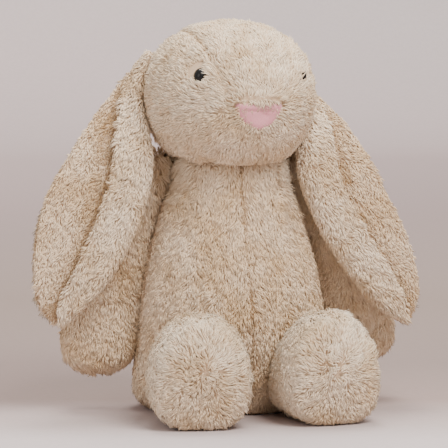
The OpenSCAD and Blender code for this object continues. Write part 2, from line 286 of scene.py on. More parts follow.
def seam_distance(points, seams):
    """Distance from each point to the nearest seam."""
    if not seams:
        return np.full(len(points), 1.0)
    tree = KDTree(len(seams))
    for i, p in enumerate(seams):
        tree.insert(p, i)
    tree.balance()
    return np.array([tree.find(p)[2] for p in points])


def sew(thing, seams):
    """Pulls the cloth in along its seams."""
    points, normals = coordinates(thing.data), vertex_normals(thing.data)
    away = seam_distance(points, seams)
    depth = SEAM_DEPTH * np.exp(-(away / SEAM_WIDTH) ** 2)
    set_coordinates(thing.data, points - normals * depth[:, None])


# ---- Materials ----

def material(name):
    made = bpy.data.materials.new(name)
    made.use_nodes = True
    nodes = made.node_tree.nodes
    return made, nodes, made.node_tree.links, nodes["Principled BSDF"]


def ramp(nodes, stops):
    node = nodes.new("ShaderNodeValToRGB")
    node.color_ramp.elements[0].position = stops[0][0]
    node.color_ramp.elements[0].color = (*stops[0][1], 1)
    node.color_ramp.elements[1].position = stops[-1][0]
    node.color_ramp.elements[1].color = (*stops[-1][1], 1)
    for place, colour in stops[1:-1]:
        element = node.color_ramp.elements.new(place)
        element.color = (*colour, 1)
    return node


def noise_node(nodes, links, scale, detail=3.0, roughness=0.5):
    place = nodes.new("ShaderNodeTexCoord")
    noise = nodes.new("ShaderNodeTexNoise")
    noise.inputs["Scale"].default_value = scale
    noise.inputs["Detail"].default_value = detail
    noise.inputs["Roughness"].default_value = roughness
    links.new(place.outputs["Object"], noise.inputs["Vector"])
    return noise


def multiply(nodes, links, colour_a, colour_b, factor=1.0):
    mix = nodes.new("ShaderNodeMix")
    mix.data_type = "RGBA"
    mix.blend_type = "MULTIPLY"
    mix.inputs[0].default_value = factor
    links.new(colour_a, mix.inputs[6])
    links.new(colour_b, mix.inputs[7])
    return mix.outputs[2]


def pile_material(name, root, body, tip):
    """Long pile: dark at the root, which is painted shade deep in the pile, pale at the tip, with soft
    patches and stray pale hairs.
    """
    made, nodes, links, shader = material(name)
    along = nodes.new("ShaderNodeAttribute")
    along.attribute_name = "along"
    tone_and_shade = nodes.new("ShaderNodeAttribute")
    tone_and_shade.attribute_name = "tone_and_shade"
    # Colour along each tuft; the darker colour at the root is painted shade deep in the pile
    length_ramp = ramp(nodes, [(0.0, root), (0.42, body), (1.0, tip)])
    links.new(along.outputs["Fac"], length_ramp.inputs["Fac"])
    # tone_and_shade varies at random per tuft and is lowered by painted shade along seams and under the
    # ears' flaps; its low, dark end comes mostly from that painted shade
    tone_and_shade_ramp = ramp(nodes, [(0.0, (0.62, 0.53, 0.43)), (0.5, (0.96, 0.95, 0.94)), (1.0, (1.0, 1.0, 1.0))])
    links.new(tone_and_shade.outputs["Fac"], tone_and_shade_ramp.inputs["Fac"])
    patched = multiply(nodes, links, length_ramp.outputs["Color"], tone_and_shade_ramp.outputs["Color"])
    for scale, low in ((30.0, (0.86, 0.79, 0.68)), (110.0, (0.93, 0.90, 0.85))):
        patches = noise_node(nodes, links, scale)
        patch_ramp = ramp(nodes, [(0.36, low), (0.6, (1.0, 0.99, 0.97))])
        links.new(patches.outputs["Fac"], patch_ramp.inputs["Fac"])
        patched = multiply(nodes, links, patched, patch_ramp.outputs["Color"])
    links.new(patched, shader.inputs["Base Color"])
    shader.inputs["Roughness"].default_value = 0.62
    shader.inputs["Specular IOR Level"].default_value = 0.05
    shader.inputs["Sheen Weight"].default_value = 0.08
    shader.inputs["Sheen Roughness"].default_value = 0.5
    shader.inputs["Sheen Tint"].default_value = (1.0, 0.95, 0.88, 1)
    return made


def cloth_material(name, dark, light, scale=900.0, bump=0.4, sheen=0.3):
    """Knitted backing or short velvet: fine grain, soft patches and sheen."""
    made, nodes, links, shader = material(name)
    grain = noise_node(nodes, links, scale, 4.0, 0.65)
    colour = ramp(nodes, [(0.3, dark), (0.7, light)])
    links.new(grain.outputs["Fac"], colour.inputs["Fac"])
    patches = noise_node(nodes, links, 60.0)
    patch_ramp = ramp(nodes, [(0.3, (0.86, 0.84, 0.82)), (0.7, (1.0, 1.0, 1.0))])
    links.new(patches.outputs["Fac"], patch_ramp.inputs["Fac"])
    links.new(multiply(nodes, links, colour.outputs["Color"], patch_ramp.outputs["Color"]),
              shader.inputs["Base Color"])
    bumps = nodes.new("ShaderNodeBump")
    bumps.inputs["Strength"].default_value = bump
    bumps.inputs["Distance"].default_value = 0.4 * MM
    links.new(grain.outputs["Fac"], bumps.inputs["Height"])
    links.new(bumps.outputs["Normal"], shader.inputs["Normal"])
    shader.inputs["Roughness"].default_value = 0.9
    shader.inputs["Specular IOR Level"].default_value = 0.2
    shader.inputs["Sheen Weight"].default_value = sheen
    shader.inputs["Sheen Roughness"].default_value = 0.4
    return made


def bead_material():
    """Polished black plastic with faint scuffs."""
    made, nodes, links, shader = material("bead_plastic")
    scuffs = noise_node(nodes, links, 700.0, 5.0, 0.7)
    gloss = ramp(nodes, [(0.35, (0.16, 0.16, 0.16)), (0.75, (0.30, 0.30, 0.30))])
    links.new(scuffs.outputs["Fac"], gloss.inputs["Fac"])
    links.new(gloss.outputs["Color"], shader.inputs["Roughness"])
    tint = ramp(nodes, [(0.3, (0.004, 0.004, 0.004)), (0.7, (0.012, 0.010, 0.009))])
    links.new(scuffs.outputs["Fac"], tint.inputs["Fac"])
    links.new(tint.outputs["Color"], shader.inputs["Base Color"])
    shader.inputs["Specular IOR Level"].default_value = 0.2
    shader.inputs["Coat Weight"].default_value = 0.06
    shader.inputs["Coat Roughness"].default_value = 0.15
    return made


def pellet_material():
    """Plastic pellets that show as bumps through a thin pouch."""
    made, nodes, links, shader = material("pellet_pouch_cloth")
    place = nodes.new("ShaderNodeTexCoord")
    cells = nodes.new("ShaderNodeTexVoronoi")
    cells.inputs["Scale"].default_value = 330.0
    links.new(place.outputs["Object"], cells.inputs["Vector"])
    # Paler over each pellet and darker between them: painted shade between the bumps
    colour = ramp(nodes, [(0.0, (0.72, 0.76, 0.80)), (0.8, (0.45, 0.48, 0.52))])
    links.new(cells.outputs["Distance"], colour.inputs["Fac"])
    links.new(colour.outputs["Color"], shader.inputs["Base Color"])
    bumps = nodes.new("ShaderNodeBump")
    bumps.invert = True
    bumps.inputs["Distance"].default_value = 0.8 * MM
    links.new(cells.outputs["Distance"], bumps.inputs["Height"])
    links.new(bumps.outputs["Normal"], shader.inputs["Normal"])
    shader.inputs["Roughness"].default_value = 0.55
    return made


# Each pile's first colour, at the root, is darker: painted shade deep in the pile
PILE = pile_material("beige_pile", (0.78, 0.595, 0.42), (0.84, 0.66, 0.475), (0.93, 0.79, 0.63))
# A paler copy of the same pile: painted light on the head, legs, ear backs and tail, where light falls
# more; the torso, arms and ear linings, more in shade, keep PILE
PILE_PAINTED_LIT = pile_material("pile_painted_lit", (0.81, 0.64, 0.47), (0.87, 0.71, 0.54), (0.95, 0.84, 0.70))
BACKING = cloth_material("plush_backing", (0.66, 0.47, 0.31), (0.76, 0.57, 0.40))
VELVET = cloth_material("nose_velvet", (0.62, 0.235, 0.27), (0.76, 0.355, 0.39), 1500.0, 0.35, 0.8)
WADDING = cloth_material("wadding_fibre", (0.78, 0.78, 0.76), (0.93, 0.93, 0.91), 420.0, 0.9)
WASHER = cloth_material("washer_plastic", (0.70, 0.73, 0.77), (0.78, 0.80, 0.84), 300.0, 0.1, 0.0)
BEAD = bead_material()
PELLETS = pellet_material()

for node_name, node in frame["nodes"].items():
    inner = None
    if "stuffing" in node_name:
        inner = WADDING
    elif "pellet" in node_name:
        inner = PELLETS
    elif "washer" in node_name:
        inner = WASHER
    elif node_name.startswith("eye_"):
        inner = BEAD
    if inner:
        node.data.materials.clear()
        node.data.materials.append(inner)


# ---- Pile ----

def wave_field(points, size, seed):
    """Smooth random vectors over space, from a few seeded waves of about the given size."""
    rng = np.random.default_rng(seed)
    total = np.zeros((len(points), 3))
    for _ in range(WAVES):
        wave = unit(rng.normal(size=3)) * (2 * math.pi / size) * rng.uniform(0.6, 1.6)
        total += np.sin(points @ wave + rng.uniform(0, 2 * math.pi))[:, None] * unit(rng.normal(size=3))
    return total / math.sqrt(WAVES / 2)


def scatter(mesh, spacing, seed):
    """Roots spread evenly over a mesh: their points and smooth normals."""
    mesh.calc_loop_triangles()
    corners = np.empty(len(mesh.loop_triangles) * 3, np.int32)
    mesh.loop_triangles.foreach_get("vertices", corners)
    corners = corners.reshape(-1, 3)
    points, normals = coordinates(mesh), vertex_normals(mesh)
    a, b, c = (points[corners[:, k]] for k in range(3))
    area = np.linalg.norm(np.cross(b - a, c - a), axis=1) / 2
    reach = np.cumsum(area)
    count = int(reach[-1] / spacing ** 2)
    rng = np.random.default_rng(seed)
    place = (np.arange(count) + rng.uniform(size=count)) / count * reach[-1]
    pick = np.minimum(np.searchsorted(reach, place), len(corners) - 1)
    u, v = rng.uniform(size=(2, count))
    flip = u + v > 1
    u[flip], v[flip] = 1 - u[flip], 1 - v[flip]
    share = np.stack([1 - u - v, u, v], axis=1)[:, :, None]
    roots = (points[corners[pick]] * share).sum(axis=1)
    return roots, unit((normals[corners[pick]] * share).sum(axis=1))


def nearest_index(points, targets):
    tree = KDTree(len(targets))
    for i, p in enumerate(targets):
        tree.insert(p, i)
    tree.balance()
    return np.array([tree.find(p)[1] for p in points])


def comb(roots, normals, lay, lift, length, seed, clump=0.3, wave=0.5, curl=0.3):
    """Middle and tip of each tuft: combed along lay, waved, and drawn together in wisps."""
    rng = np.random.default_rng(seed)
    lay = lay - (lay * normals).sum(axis=1, keepdims=True) * normals
    lay /= np.maximum(np.linalg.norm(lay, axis=1, keepdims=True), 1.0)
    sway = wave_field(roots, SWAY_WIDE, seed + 1) * wave
    sway += wave_field(roots, SWAY_FINE, seed + 2) * wave * 0.6
    sway += rng.normal(size=roots.shape) * STRAY
    flat = unit(lay + sway - (sway * normals).sum(axis=1, keepdims=True) * normals)
    rise = np.radians(lift + rng.normal(size=len(roots)) * RISE_SPREAD)[:, None]
    first = unit(flat * np.cos(rise) + normals * np.sin(rise))
    second = unit(flat * np.cos(rise - BEND) + normals * np.sin(rise - BEND)
                  + wave_field(roots, CURL_SIZE, seed + 3) * curl)
    size = (length * rng.uniform(*LENGTH_SPREAD, len(roots)))[:, None]
    middle = roots + first * size * 0.5
    tip = middle + second * size * 0.5
    leaders = rng.choice(len(roots), max(1, len(roots) // WISP), replace=False)
    own = leaders[nearest_index(roots, roots[leaders])]
    aside = roots - roots[own]
    middle += (middle[own] + aside * WISP_MIDDLE - middle) * clump * WISP_HOLD
    tip += (tip[own] + aside * WISP_TIP - tip) * clump
    return middle, tip


# A tuft's points are its root, three round its middle and its tip
TUFT_FACES = np.array([[0, 2, 1], [0, 3, 2], [0, 1, 3], [1, 2, 4], [2, 3, 4], [3, 1, 4]])
TUFT_ALONG = [0.0, 0.5, 0.5, 0.5, 1.0]
# Share of the cloth's own normal in a tuft's shading, against the tuft's
SOFT_SHADE = 0.45


def tuft_mesh(name, roots, normals, middle, tip, width, painted_shade, seed):
    """Closed three-sided tufts, bent once, as one mesh with along and tone_and_shade on its points; the
    latter varies at random per tuft, less painted shade.
    """
    rng = np.random.default_rng(seed)
    count = len(roots)
    axis = unit(middle - roots)
    side = unit(np.cross(axis, unit(normals + rng.normal(size=roots.shape) * 0.3)))
    other = np.cross(axis, side)
    spin = rng.uniform(0, 2 * math.pi, count)
    wide = (width * rng.uniform(*WIDTH_SPREAD, count) / 2)[:, None]
    points = [roots - normals * ROOT_DEPTH]
    for k in range(3):
        a = (spin + k * 2 * math.pi / 3)[:, None]
        points.append(middle + (side * np.cos(a) + other * np.sin(a)) * wide)
    points = np.stack(points + [tip], axis=1)
    points[:, :, 2] = np.maximum(points[:, :, 2], FLOOR_CLEARANCE)
    faces = (TUFT_FACES[None] + 5 * np.arange(count)[:, None, None]).reshape(-1, 3)
    mesh = bpy.data.meshes.new(name)
    mesh.vertices.add(count * 5)
    mesh.loops.add(len(faces) * 3)
    mesh.polygons.add(len(faces))
    mesh.vertices.foreach_set("co", points.astype(np.float32).ravel())
    mesh.loops.foreach_set("vertex_index", faces.astype(np.int32).ravel())
    mesh.polygons.foreach_set("loop_start", np.arange(0, len(faces) * 3, 3, dtype=np.int32))
    mesh.update(calc_edges=True)
    along = mesh.attributes.new("along", "FLOAT", "POINT")
    along.data.foreach_set("value", np.tile(TUFT_ALONG, count).astype(np.float32))
    tone_and_shade = mesh.attributes.new("tone_and_shade", "FLOAT", "POINT")
    # Random per tuft, less the painted shade along seams and under the ears' flaps
    shade = np.clip(TONE + rng.normal(size=count) * TONE_SPREAD - painted_shade, 0, 1)
    tone_and_shade.data.foreach_set("value", np.repeat(shade, 5).astype(np.float32))
    mesh.shade_smooth()
    out = unit(points - middle[:, None, :])
    out[:, 0] = normals
    soft = unit(normals[:, None, :] * SOFT_SHADE + out).reshape(-1, 3)
    mesh.normals_split_custom_set_from_vertices(soft)
    return mesh


def finish_piece(thing, body, look, replaced=(), blend=None):
    """Gives a piece its material and the body it follows, or bakes its place where it has a blend, and
    hides the CAD parts it replaces.
    """
    thing.data.materials.clear()
    thing.data.materials.append(look)
    if blend:
        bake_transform(thing)
    else:
        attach(thing, body)
    if replaced:
        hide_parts(*replaced)


# How much shorter the pile is where the ear's folded flap crowds it, and how much painted shade darkens it
# where the flap keeps the light off
CROWD_SHORTER, FLAP_PAINTED_SHADE = 0.5, 0.75


def panel_of(points, panels):
    """Which CAD panel each root grows from."""
    trees = [tree_of(p) for p in panels]
    return np.array([min(range(len(trees)), key=lambda k: trees[k].find_nearest(p)[3])
                     for p in map(Vector, points)])


def grow(cloth, panels, body, look, lay, lift, seed, keep=None, blend=None, seams=(),
         length=PILE_LENGTH, spacing=PILE_SPACING, scale=None, crowd=None, seam_mark=1.0):
    """Grows pile over a cloth form, as one piece for each of its sewn panels."""
    roots, normals = scatter(cloth.data, spacing, seed)
    if keep is not None:
        good = keep(roots, normals)
        roots, normals = roots[good], normals[good]
    away = seam_distance(roots, list(seams))
    near_seam = seam_mark * np.exp(-(away / PARTING_WIDTH) ** 2)
    # Along a seam the pile is shorter, and painted shade darkens it where it parts
    short, painted_shade = 1 - PARTING_SHORTER * near_seam, PARTING_PAINTED_SHADE * near_seam
    if scale is not None:
        short = short * scale(roots, normals)
    if crowd is not None:
        crowded = crowd(roots, normals)
        short = short * (1 - CROWD_SHORTER * crowded)
        # Painted shade where the ear's folded flap keeps the light off
        painted_shade = painted_shade + FLAP_PAINTED_SHADE * crowded
    rise = lift(roots) if callable(lift) else lift
    middle, tip = comb(roots, normals, lay(roots, normals), rise, length * short, seed + 10)
    which = panel_of(roots, panels)
    for k, panel in enumerate(panels):
        part = which == k
        if not part.any():
            continue
        name = f"pile_{panel}"
        mesh = tuft_mesh(name, roots[part], normals[part], middle[part], tip[part], PILE_WIDTH,
                         painted_shade[part], seed + 20 + k)
        finish_piece(add_object(name, mesh), body, look, blend=blend)


def down(roots, normals):
    return np.tile([0.0, 0.0, -2.0], (len(roots), 1))


# ---- Cloth forms ----

TORSO_PANELS = ["torso_front_left", "torso_front_right", "torso_back_left", "torso_back_right"]
HEAD_PANELS = ["head_side_left", "head_side_right", "head_gusset"]
forms = {}
forms["torso"] = remeshed("torso_cloth", TORSO_PANELS + ["base_panel", "torso_stuffing", "pellet_pouch"],
                          VOXEL, ROUNDS["torso"])
forms["head"] = remeshed("head_cloth", HEAD_PANELS + ["head_stuffing"], VOXEL, ROUNDS["head"])
for side in SIDES:
    forms[f"arm_{side}"] = remeshed(
        f"arm_{side}_cloth", [f"arm_front_{side}", f"arm_back_{side}", f"arm_stuffing_{side}"],
        VOXEL, ROUNDS["arm"])
    forms[f"leg_{side}"] = remeshed(
        f"leg_{side}_cloth", [f"leg_inner_{side}", f"leg_outer_{side}", f"sole_{side}",
                              f"leg_stuffing_{side}", f"foot_pellets_{side}"],
        VOXEL, ROUNDS["leg"])
forms["tail"] = remeshed("tail_cloth", ["tail_skin", "tail_stuffing"], TAIL_VOXEL, ROUNDS["tail"])

inflate([form for key, form in forms.items() if key != "tail"])

covered = {
    "torso": ["torso_stuffing", "pellet_pouch"], "head": ["head_stuffing"], "tail": ["tail_stuffing"],
    "arm_left": ["arm_stuffing_left"], "arm_right": ["arm_stuffing_right"],
    "leg_left": ["leg_stuffing_left", "foot_pellets_left"],
    "leg_right": ["leg_stuffing_right", "foot_pellets_right"],
}
for key, form in forms.items():
    subdivided(form)

seams = {
    "torso": seam_points([("torso_front_left", "torso_front_right"),
                          ("torso_front_left", "torso_back_left"),
                          ("torso_front_right", "torso_back_right"),
                          ("torso_back_left", "torso_back_right")]),
    "head": seam_points([("head_gusset", "head_side_left"), ("head_gusset", "head_side_right"),
                         ("head_side_left", "head_side_right")]),
    "tail": [],
}
for side in SIDES:
    seams[f"arm_{side}"] = seam_points([(f"arm_front_{side}", f"arm_back_{side}")])
    seams[f"leg_{side}"] = seam_points([(f"leg_inner_{side}", f"leg_outer_{side}")])
for key, form in forms.items():
    sew(form, seams[key])
    keep_over(form, covered[key], STUFFING_GAP)
    points = coordinates(form.data)
    points[:, 2] = np.maximum(points[:, 2], FLOOR_CLEARANCE)
    set_coordinates(form.data, points)

finish_piece(forms["torso"], "torso", BACKING, TORSO_PANELS + ["base_panel"])
finish_piece(forms["head"], "head", BACKING, HEAD_PANELS)
finish_piece(forms["tail"], "torso", BACKING, ["tail_skin"])

# Points where each limb and ear starts and ends its bend across its joint; the script applies no bend, and
# only bakes the place of a piece given them
NECK = Vector(frame["joints"][0]["pos_m"])
shoulder_blend, hip_blend, ear_blend = {}, {}, {}
for joint in frame["joints"]:
    at = Vector(joint["pos_m"])
    part, side = joint["name"].split("_")[:2]
    if part == "arm":
        out = SIDE_SIGN[side]
        shoulder_blend[side] = ("torso", f"arm_{side}", at + Vector((-out, 0, 4)) * MM,
                                at + Vector((out * 5, 0, -13)) * MM)
    if part == "leg":
        hip_blend[side] = ("torso", f"leg_{side}", at + Vector((0, -6, 0)) * MM,
                           at + Vector((0, -42, 0)) * MM)
    if part == "ear":
        out = SIDE_SIGN[side]
        ear_blend[side] = ("head", f"ear_{side}", at + Vector((out * 4, 0, -6)) * MM,
                           at + Vector((out * 16, 0, -44)) * MM)

for side in SIDES:
    finish_piece(forms[f"arm_{side}"], None, BACKING, [f"arm_front_{side}", f"arm_back_{side}"],
                 blend=shoulder_blend[side])
    finish_piece(forms[f"leg_{side}"], None, BACKING,
                 [f"leg_inner_{side}", f"leg_outer_{side}", f"sole_{side}"], blend=hip_blend[side])

# ---- Ears ----

ear_forms = {}
for side in SIDES:
    for layer in ("outer", "lining"):
        node_name = f"ear_{layer}_{side}"
        cloth = remeshed(f"{node_name}_cloth", [node_name], EAR_VOXEL, ROUNDS["ear"])
        cloth.data.shade_smooth()
        finish_piece(cloth, None, BACKING, [node_name], blend=ear_blend[side])
        ear_forms[node_name] = cloth

# ---- Face ----

head_low = np.min([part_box(name)[0] for name in HEAD_PANELS], axis=0)
head_high = np.max([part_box(name)[1] for name in HEAD_PANELS], axis=0)
head_middle = (head_low + head_high) / 2
nose_cad = coordinates(frame["nodes"]["nose"].data)
nose_centre = nose_cad.mean(axis=0)
face_out = unit(nose_centre - head_middle)
face_right = unit(np.cross([0.0, 0.0, 1.0], face_out))
face_up = np.cross(face_out, face_right)

NOSE_STEPS = 96
NOSE_RINGS = 16
# How the nose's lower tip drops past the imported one, how it is padded, and its crease
NOSE_DROP = 1.5 * MM
NOSE_OVER_CLOTH = 0.8 * MM
NOSE_RISE, NOSE_ROUND = 3.0 * MM, 2.0 * MM
NOSE_CREASE, NOSE_CREASE_WIDTH, NOSE_CREASE_AT = 0.7 * MM, 1.3 * MM, 0.3
NOSE_MIDDLE_AT = 0.38
NOSE_THICK = 2.4 * MM
# Depth of the fringe that hangs over the nose's top edge
NOSE_FRINGE = 3.5 * MM


def nose_outline(half, top, bottom):
    """Rounded triangle, point down, with full lower sides, as evenly spaced points."""
    sides = []
    for t in np.linspace(0, 1, 60):
        corner = math.sqrt(1 - max(0.0, 1 - t / 0.16) ** 2)
        sides.append((half * (1 - t ** 2.2) ** 0.75 * (0.84 + 0.16 * corner), top + (bottom - top) * t))
    loop = np.array(sides + [(-x, y) for x, y in reversed(sides)] + [sides[0]])
    run = np.concatenate([[0], np.cumsum(np.linalg.norm(np.diff(loop, axis=0), axis=1))])
    at = np.linspace(0, run[-1], NOSE_STEPS, endpoint=False)
    return np.stack([np.interp(at, run, loop[:, k]) for k in range(2)], axis=1)


def nose_patch():
    """Padded velvet nose that lies on the head's cloth, with a soft crease under its top edge."""
    across, height = (nose_cad - nose_centre) @ face_right, (nose_cad - nose_centre) @ face_up
    top, bottom = height.max(), height.min()
    outline = nose_outline(across.max(), top, bottom - NOSE_DROP)
    middle = np.array([0.0, top + (bottom - top) * NOSE_MIDDLE_AT])
    crease_at = top + (bottom - top) * NOSE_CREASE_AT
    cloth = BVHTree.FromPolygons([v.co for v in forms["head"].data.vertices],
                                 [p.vertices[:] for p in forms["head"].data.polygons])
    points = []
    for ring in range(NOSE_RINGS + 1):
        share = 1 - ring / NOSE_RINGS
        for edge in outline if share > 0 else [middle]:
            x, y = middle + (edge - middle) * share
            way = Vector(unit(nose_centre + face_right * x + face_up * y - head_middle))
            place = cloth.ray_cast(Vector(head_middle), way)[0]
            inside = np.linalg.norm(edge - middle) * (1 - share) if share > 0 else 9 * MM
            rise = NOSE_OVER_CLOTH + NOSE_RISE * (1 - math.exp(-inside / NOSE_ROUND))
            rise -= (NOSE_CREASE * math.exp(-((y - crease_at) / NOSE_CREASE_WIDTH) ** 2)
                     * max(0.0, 1 - (x / (0.85 * across.max())) ** 2))
            points.append(place + way * rise)
    back = [p - Vector(face_out) * NOSE_THICK for p in points[:NOSE_STEPS]]
    points += back + [sum(back, Vector()) / len(back)]
    n, last = NOSE_STEPS, NOSE_STEPS * NOSE_RINGS
    faces = []
    for k in range(n):
        j = (k + 1) % n
        faces += [(r * n + k, r * n + j, (r + 1) * n + j, (r + 1) * n + k) for r in range(NOSE_RINGS - 1)]
        faces.append((last - n + k, last - n + j, last))
        faces.append((k, last + 1 + k, last + 1 + j, j))
        faces.append((last + 1 + j, last + 1 + k, last + 1 + n))
    mesh = bpy.data.meshes.new("nose_patch")
    mesh.from_pydata(points, [], faces)
    bm = bmesh.new()
    bm.from_mesh(mesh)
    bmesh.ops.recalc_face_normals(bm, faces=bm.faces)
    bm.to_mesh(mesh)
    bm.free()
    thing = add_object("nose_patch", mesh)
    subdivided(thing)
    return thing


finish_piece(nose_patch(), "head", VELVET, ["nose"])

eye_centres = {side: np.mean(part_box(f"eye_{side}"), axis=0) for side in SIDES}
head_tree = tree_of(*HEAD_PANELS)
eye_roots = {side: np.array(head_tree.find_nearest(Vector(eye_centres[side]))[0]) for side in SIDES}
nose_tree = tree_of("nose")

nose_half = np.abs((nose_cad - nose_centre) @ face_right).max()

# ---- Grow the pile ----

# Height where the torso's pile stops inside the neck, over the neck joint, and over the floor
NECK_OVER = 24 * MM
BASE_OVER = 1.5 * MM
# Share of the pile's length at the floor, and the height where it is at its full length
FLOOR_SHARE, FLOOR_SPAN = 0.45, 14 * MM
# The shoulders: where they start, how high they are, and how far they lie from the middle
SHOULDER_LOW, SHOULDER_SPAN, SHOULDER_SIDE = 140 * MM, 45 * MM, 30 * MM
# Angle of the pile from the cloth, how much more it stands up at the shoulders, and its added length
BODY_LIFT, SHOULDER_LIFT, SHOULDER_LONGER = 37, 33, 0.4


def torso_keep(roots, normals):
    return (roots[:, 2] < NECK.z + NECK_OVER) & (roots[:, 2] > BASE_OVER)


def floor_short(roots, normals):
    return np.clip(FLOOR_SHARE + roots[:, 2] / FLOOR_SPAN, FLOOR_SHARE, 1.0)


def shoulder(roots):
    """0 away from the shoulders, rising to 1 at the top of the arms."""
    height = np.clip((roots[:, 2] - SHOULDER_LOW) / SHOULDER_SPAN, 0, 1)
    return height * (np.abs(roots[:, 0]) > SHOULDER_SIDE)


def shoulder_lift(roots):
    """The pile stands up where the arms, the neck and the ears press it together."""
    return BODY_LIFT + SHOULDER_LIFT * shoulder(roots)


def shoulder_full(roots, normals):
    return 1 + SHOULDER_LONGER * shoulder(roots)


def torso_scale(roots, normals):
    return floor_short(roots, normals) * shoulder_full(roots, normals)


def torso_lay(roots, normals):
    """Down, and out from the middle seam."""
    return np.stack([roots[:, 0] * 8, np.zeros(len(roots)), np.full(len(roots), -2.0)], axis=1)


grow(forms["torso"], TORSO_PANELS, "torso", PILE, torso_lay, shoulder_lift, 100,
     keep=torso_keep, seams=seams["torso"], scale=torso_scale, seam_mark=0.85)


# Radius of the bare ring round each eye, and what it narrows to on the face's side, in mm
EYE_BARE = {"left": 1.2, "right": 8.2}
EYE_COVERED = {"left": 0.0, "right": 6.2}
# How much longer, and how many degrees steeper, the pile is on the face's side of each eye
EYE_FRINGE = {"left": (1.4, 30.0), "right": (-0.1, 6.0)}
# Shortest pile, as a share of the rest, on the side of each eye that looks away from the face
EYE_SHORT = {"left": 0.85, "right": 0.35}
EYE_REACH = 10 * MM
EYE_SHORT_REACH = 18 * MM
# Radius round the neck joint that the head's pile leaves bare, and the bare rim round the nose
NECK_BARE = 45 * MM
NOSE_BARE = 1.0 * MM
# Angle of the head's pile from the cloth, and how much more it stands up within reach of the nose
HEAD_LIFT, NOSE_LIFT, NOSE_REACH = 33, 27, 3.5 * MM
# How much the cheeks' pile turns down, and over what depth below the head's middle
CHEEK_DOWN, CHEEK_DEPTH = 1.4, 40 * MM
# Share of the nose's half width that the fringe covers
FRINGE_SHARE = 0.65
# The head's pile grows from its shortest at the nose to its longest farther away
HEAD_SHORTEST, HEAD_LONGEST, HEAD_GROWTH = 0.6, 0.95, 70 * MM


def eye_aside(roots, side):
    """Distance of each root from an eye, and how much it lies on the face's side of it."""
    aside = roots - eye_roots[side]
    far = np.linalg.norm(aside, axis=1)
    inwards = unit(nose_centre - eye_roots[side])
    if side == "left":
        inwards = unit(inwards + unit(eye_roots["right"] - eye_roots["left"]))
    return far, (aside / far[:, None]) @ inwards


def eye_fringe(roots, side):
    """1 just on the face's side of an eye, falling to 0 away from there."""
    far, facing = eye_aside(roots, side)
    return np.exp(-(far / EYE_REACH) ** 4) * np.clip(facing * 2, 0, 1)


def head_keep(roots, normals):
    """Leaves out roots in the neck, under the eyes and under the nose."""
    good = np.linalg.norm(roots - np.array(NECK), axis=1) > NECK_BARE
    for side in SIDES:
        far, facing = eye_aside(roots, side)
        narrower = (EYE_BARE[side] - EYE_COVERED[side]) * np.clip(facing * 2, 0, 1)
        good &= far > (EYE_BARE[side] - narrower) * MM
    return good & (nose_distance(roots) > NOSE_BARE)


def nose_distance(roots):
    """Distance of each root from the edge of the nose."""
    return np.array([nose_tree.find_nearest(Vector(p))[3] for p in roots]) - 0.3 * MM


def head_lay(roots, normals):
    """Away from the nose, down under the cheeks, and over the middle of the nose's top edge."""
    lay = unit(roots - nose_centre) * 2
    low = np.clip((head_middle[2] - roots[:, 2]) / CHEEK_DEPTH, 0, 1)
    lay[:, 2] -= CHEEK_DOWN * low
    aside = roots - nose_centre
    over = (aside @ face_up > 0) & (np.abs(aside @ face_right) < FRINGE_SHARE * nose_half)
    over &= nose_distance(roots) < NOSE_FRINGE
    lay[over] = -2 * face_up
    return lay


def head_lift(roots):
    """The pile stands up round the nose and on the face's side of each eye."""
    lift = HEAD_LIFT + NOSE_LIFT * np.exp(-(nose_distance(roots) / NOSE_REACH) ** 2)
    for side in SIDES:
        lift += EYE_FRINGE[side][1] * eye_fringe(roots, side)
    return lift


def head_short(roots, normals):
    """Shorter pile round the nose, and on the side of each eye that looks away from the face."""
    near_nose = np.linalg.norm(roots - nose_centre, axis=1)
    size = np.clip(0.5 + near_nose / HEAD_GROWTH, HEAD_SHORTEST, HEAD_LONGEST)
    for side in SIDES:
        far, facing = eye_aside(roots, side)
        outer = np.clip(far / EYE_SHORT_REACH + np.clip(facing * 1.5, 0, 1), EYE_SHORT[side], 1)
        size = np.minimum(size, outer)
        size *= 1 + EYE_FRINGE[side][0] * eye_fringe(roots, side)
    return size


grow(forms["head"], HEAD_PANELS, "head", PILE_PAINTED_LIT, head_lay, head_lift, 200,
     keep=head_keep, seams=seams["head"], scale=head_short, seam_mark=0.45)

# Legs: how fast the pile turns outwards from the sole's middle, its length and its angle
SOLE_TURN = 20 * MM
LEG_LENGTH = 8.5 * MM
LEG_LIFT, SOLE_LIFT, SOLE_REACH = 40, 12, 14 * MM
LEG_ALONG = [0.0, -1.2, -1.0]
# Ears: the spacing, lengths and angle of their pile, and its share of the length at the rim and root
EAR_SPACING = 1.09 * MM
EAR_RIM_SHARE = 0.7
EAR_ROOT_SHARE, EAR_ROOT_SPAN = 0.45, 30 * MM
EAR_OUTWARDS, EAR_DOWN = 1.0, -1.9
# Gap within which the two layers of an ear lie together, and where the search for it starts
LAYER_GAP, LAYER_START = 1.5 * MM, 0.2 * MM
EAR_LENGTH = {"outer": 9.0 * MM, "lining": 7.5 * MM}
EAR_LIFT = 34
# Shares of sideways tilt in the rays that look for the folded flap, and how far they look
FLAP_TILTS = (0.35, 0.8, 0.95)
FLAP_REACH = 20 * MM
# Tail's pile starts behind this depth, and stands up steeply
TAIL_FROM = 60 * MM
TAIL_LIFT = 50

